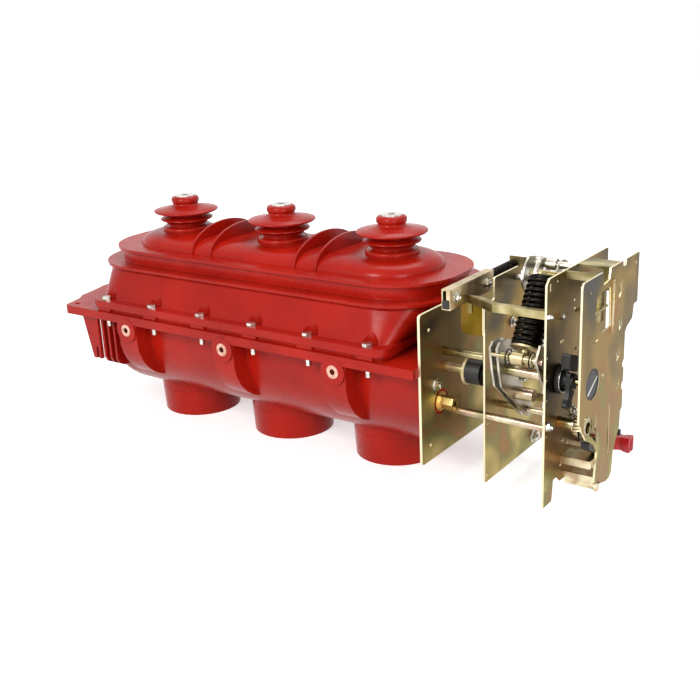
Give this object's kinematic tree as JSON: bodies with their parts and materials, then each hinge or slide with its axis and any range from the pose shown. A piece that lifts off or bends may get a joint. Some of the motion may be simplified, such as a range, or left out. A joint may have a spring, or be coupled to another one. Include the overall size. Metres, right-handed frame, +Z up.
{
  "type": "three-phase load-break switch module of a ring main unit",
  "caption": "Cast red insulating tank with ribbed bushings and cable outlets, bolted to a plated steel spring mechanism.",
  "frame": {"origin": "centre of the middle cable outlet, in the plane of the outlet rims", "axes": "+X along the phases towards the spring mechanism, -Y front, +Z up"},
  "size_m": [0.983, 0.332, 0.3787],
  "materials": {
    "cast_epoxy": "glossy cast epoxy",
    "terminal_metal": "machined",
    "contact_metal": "machined copper alloy",
    "fastener": "zinc plated",
    "valve_brass": "turned brass",
    "passivated_steel": "yellow passivated zinc",
    "galvanised_steel": "bright zinc",
    "spring_black": "black oxide",
    "black_plastic": "moulded",
    "red_plastic": "moulded"
  },
  "bodies": {
    "frame": {"lower_tank": "cast_epoxy", "outlet_contacts": "contact_metal", "upper_shell": "cast_epoxy", "cover_bolts_front": "fastener", "cover_bolts_rear": "fastener", "side_inserts_front": "terminal_metal", "side_inserts_rear": "terminal_metal", "gas_valve": "valve_brass", "mounting_plate": "passivated_steel", "plate_bolts": "fastener", "middle_plate": "passivated_steel", "bearing_plate": "passivated_steel", "front_plate": "passivated_steel", "shaft_bearing": "black_plastic", "latch_lever": "black_plastic", "carrier_plates": "galvanised_steel", "lever_plate": "galvanised_steel", "spring_pin": "galvanised_steel", "main_spring": "spring_black", "spring_seats": "passivated_steel", "tie_rods": "passivated_steel", "drive_hub": "black_plastic", "top_bar": "passivated_steel", "spring_channel": "galvanised_steel", "return_spring": "spring_black", "spring_post": "passivated_steel", "mechanism_screws": "fastener", "top_brackets": "passivated_steel", "interlock_slider": "passivated_steel", "bottom_bracket": "passivated_steel", "outlet_collar_left": "cast_epoxy", "bushing_left": "cast_epoxy", "top_terminal_left": "terminal_metal", "outlet_collar_middle": "cast_epoxy", "bushing_middle": "cast_epoxy", "top_terminal_middle": "terminal_metal", "outlet_collar_right": "cast_epoxy", "bushing_right": "cast_epoxy", "top_terminal_right": "terminal_metal"},
    "main_shaft": {"main_shaft": "passivated_steel", "indicator_disc": "black_plastic"},
    "handle_shaft": {"handle_shaft": "passivated_steel"},
    "push_button": {"push_button": "red_plastic"}
  },
  "joints": [
    {"name": "main_shaft_turn", "type": "hinge", "parent": "frame", "child": "main_shaft", "pos_m": [0.55, -0.1085, 0.2104], "axis": [1, 0, 0], "range_deg": [-45, 45]},
    {"name": "handle_shaft_turn", "type": "hinge", "parent": "frame", "child": "handle_shaft", "pos_m": [0.55, -0.108, 0.15], "axis": [1, 0, 0], "range_deg": [-90, 90]},
    {"name": "push_button_press", "type": "slide", "parent": "frame", "child": "push_button", "axis": [-1, 0, 0], "range_m": [0, 0.008]}
  ]
}
